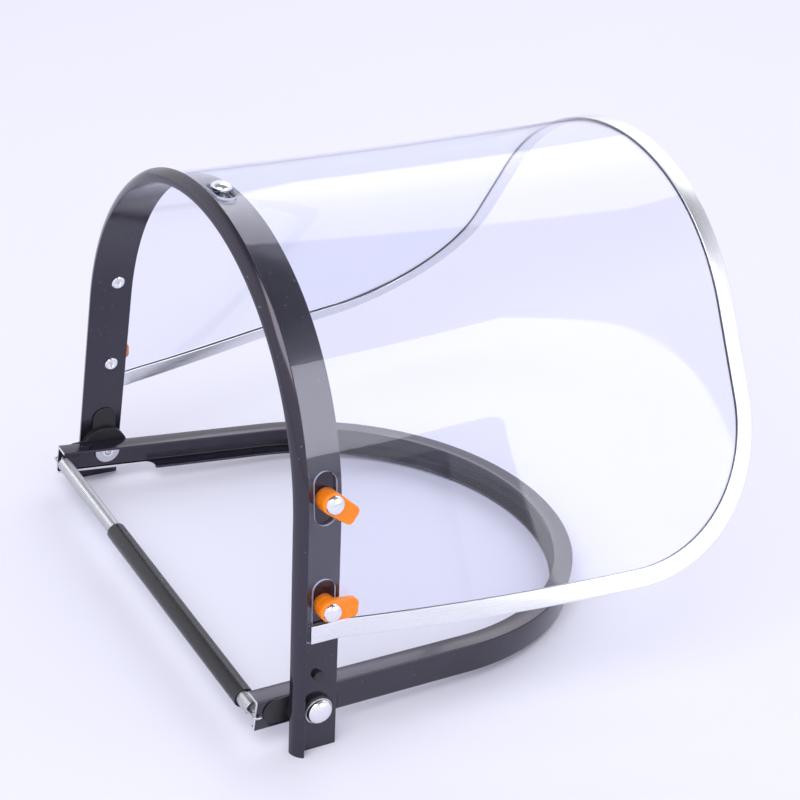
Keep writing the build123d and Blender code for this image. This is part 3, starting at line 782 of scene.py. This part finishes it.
def wing_radius(angle):
    """Distance from the rivet to the latch's outline: a round boss running into a blunt wing."""
    best = LATCH_RADIUS
    corner = 2.3
    for k in range(400):
        # the wing is a rounded rectangle, walked from the boss to the tip
        along = (LATCH_REACH - corner) * k / 399
        half = LATCH_WIDTH / 2 + (LATCH_RADIUS - LATCH_WIDTH / 2) * max(0.0, 1 - along / LATCH_REACH)
        for offset in (half - corner, 0, corner - half):
            ahead = along * cos(angle) + offset * sin(angle)
            aside = abs(along * sin(angle) - offset * cos(angle))
            if aside < corner and ahead > 0:
                best = max(best, ahead + sqrt(corner**2 - aside**2))
    return best


angles = [2 * pi * k / LATCH_POINTS for k in range(LATCH_POINTS)]
wing = [wing_radius(a if a < pi else a - 2 * pi) for a in angles]
boss = [LATCH_RADIUS] * LATCH_POINTS
# each ring is an outline, how far in it is drawn, and its height
rings = [(boss, 0.35, 0.1), (boss, 0.0, 0.45), (boss, 0.0, WING_BASE)]
rings += [(wing, 0.45, WING_BASE), (wing, 0.12, WING_BASE + 0.15), (wing, 0.0, WING_BASE + 0.5)]
for k in range(7):
    a = pi / 2 * k / 6
    rings.append((wing, PILLOW * (1 - cos(a)), LATCH_TOP - PILLOW + PILLOW * sin(a)))
bore = [LATCH_BORE] * LATCH_POINTS
rings += [([LATCH_BORE + 0.9] * LATCH_POINTS, 0.0, LATCH_TOP), (bore, 0.0, LATCH_TOP), (bore, 0.0, 0.1)]
for side_name, side in SIDES.items():
    for place, height in LATCH_HEIGHTS.items():
        name = f"latch_{side_name}_{place}"
        point, normal = face_frame(height, side)
        forward = np.array([0, -1.0, 0])
        upward = np.cross(normal, forward) * -side
        turn = radians(WING_ANGLES[(side_name, place)])
        rows = []
        for outline, inset, level in rings:
            row = []
            for a, r in zip(angles, outline):
                direction = forward * cos(a + turn) + upward * sin(a + turn)
                row.append(point + MM * ((r - inset) * direction + level * normal))
            rows.append(row)
        mesh = finish_mesh(skin(rows, ring=True), name, 50)
        moulding = f"latch_{side_name}_{place}_moulding"
        piece(moulding, mesh, name, name, "orange_plastic", "orange")

# ------------------------------------------------------------------ spring and sleeve
TURN_STEPS = 18
pitch = SPRING_WIRE * 1.04
coil_radius = SPRING_RADIUS - SPRING_WIRE / 2
turns = 2 * SPRING_HALF / pitch
steps = ceil(turns * TURN_STEPS)
coil = []
for k in range(steps + 1):
    a = 2 * pi * turns * k / steps
    across = -SPRING_HALF + SPRING_WIRE / 2 + (2 * SPRING_HALF - SPRING_WIRE) * k / steps
    back, up = SPRING_BACK + coil_radius * cos(a), -LOOP_BELOW_PIVOT + coil_radius * sin(a)
    coil.append(bracket_point(across, back, up))
bm = tube(coil, SPRING_WIRE / 2, 8)
web_face = loop_half_width(HOOK_HOLE_BACK)
HOOK_WIRE = 0.5
behind = LOOP_REAR + HOOK_WIRE + 0.4
outside = web_face + HOOK_WIRE + 0.4
route = [
    (SPRING_HALF - 0.5, SPRING_BACK + coil_radius),
    (SPRING_HALF + 1.6, SPRING_BACK + coil_radius - 0.4),
    (web_face - 1.5, behind),
    (outside + 0.2, behind),
    (outside + 0.1, HOOK_HOLE_BACK - 0.2),
    (web_face - LOOP_WALL - 0.6, HOOK_HOLE_BACK),
]
for side in SIDES.values():
    path = softened([(side * across, back, -LOOP_BELOW_PIVOT) for across, back in route])
    tube([bracket_point(*p) for p in path], HOOK_WIRE, 10, bm)
mesh = finish_mesh(bm, "spring_coil", 60)
piece("spring_coil", mesh, "helmet_bracket", "tension_spring", "spring_steel", "wire", "wire")

middle = bracket_point(0, SPRING_BACK, -LOOP_BELOW_PIVOT)
wall = [(SLEEVE_BORE, SLEEVE_RIGHT), (SLEEVE_RADIUS, SLEEVE_RIGHT)]
wall += [(SLEEVE_RADIUS, SLEEVE_LEFT), (SLEEVE_BORE, SLEEVE_LEFT)]
wall = rounded(wall, 0.22)
bm = lathe(middle, (1, 0, 0), wall, 72)
piece("sleeve_tube", finish_mesh(bm, "sleeve_tube"), "sleeve", "spring_sleeve", "black_sleeve", "tube")

# ------------------------------------------------------------------ CAD nodes that stay
for node, obj in frame["nodes"].items():
    if node.startswith(("detent_plate", "pivot_spacer")):
        look = "nylon"
    elif "washer" in node:
        look = "washer"
    else:
        continue
    obj.data.materials.clear()
    obj.data.materials.append(looks[look])

# ------------------------------------------------------------------ floor, light and camera
floor_mesh = bpy.data.meshes.new("floor")
bm = bmesh.new()
FLOOR = 4.0
for x, y in ((-FLOOR, -FLOOR), (FLOOR, -FLOOR), (FLOOR, FLOOR), (-FLOOR, FLOOR)):
    bm.verts.new((x, y, 0))
bm.faces.new(bm.verts)
bm.to_mesh(floor_mesh)
bm.free()
floor = bpy.data.objects.new("floor", floor_mesh)
bpy.context.scene.collection.objects.link(floor)
n = Nodes("floor")
n.set(Metallic=0.0, Roughness=0.75, Specular_IOR_Level=0.2)
n.link(n.blend(n.noise(3, 2), (0.80, 0.80, 0.90), (0.82, 0.82, 0.92)), n.shader.inputs["Base Color"])
floor_mesh.materials.append(n.material)

world = bpy.data.worlds.new("studio")
bpy.context.scene.world = world
world.use_nodes = True
sky = world.node_tree
sky.nodes["Background"].inputs["Color"].default_value = (0.93, 0.925, 1.0, 1)
# the walls are white and the ceiling is darker
direction = sky.nodes.new("ShaderNodeTexCoord")
split = sky.nodes.new("ShaderNodeSeparateXYZ")
fade = sky.nodes.new("ShaderNodeMapRange")
for key, value in (("From Min", 0.6), ("From Max", 0.85), ("To Min", 1.1), ("To Max", 0.36)):
    fade.inputs[key].default_value = value
sky.links.new(direction.outputs["Generated"], split.inputs[0])
sky.links.new(split.outputs["Z"], fade.inputs["Value"])
sky.links.new(fade.outputs["Result"], sky.nodes["Background"].inputs["Strength"])


def soft_light(name, position, target, width, height, power, colour=(1, 1, 1)):
    """A rectangular soft box aimed at a point."""
    light = bpy.data.lights.new(name, "AREA")
    light.shape = "RECTANGLE"
    light.size, light.size_y = width, height
    light.energy = power
    light.color = colour
    obj = bpy.data.objects.new(name, light)
    bpy.context.scene.collection.objects.link(obj)
    obj.location = position
    obj.rotation_euler = (Vector(target) - Vector(position)).to_track_quat("-Z", "Y").to_euler()
    return obj


soft_light("key", (-0.7, 0.9, 1.5), (0, 0, 0.08), 1.2, 1.0, 16)
soft_light("far_side", (0.77, -0.92, 1.3), (0, 0, 0.1), 1.3, 1.0, 6.5)
panel = soft_light("front_panel", (-1.3, -0.62, 0.78), (-0.08, 0.08, 0.12), 0.8, 1.04, 5.5)
panel.visible_diffuse = False

CAMERA_FROM_PIVOT = (-606.12, 300.25, 446.89)
RIGHT = (-0.497774, -0.861931, 0.096418)
UP = (0.452534, -0.163276, 0.876672)
BACKWARD = (-0.739888, 0.480017, 0.471328)
camera = bpy.data.objects.new("camera", bpy.data.cameras.new("camera"))
bpy.context.scene.collection.objects.link(camera)
place = pivot + MM * np.array(CAMERA_FROM_PIVOT)
camera.matrix_world = Matrix([[RIGHT[i], UP[i], BACKWARD[i], place[i]] for i in range(3)] + [[0, 0, 0, 1]])
camera.data.lens = 85.16
camera.data.clip_start, camera.data.clip_end = 0.01, 50
bpy.context.scene.camera = camera
bpy.context.scene.view_settings.view_transform = "Standard"
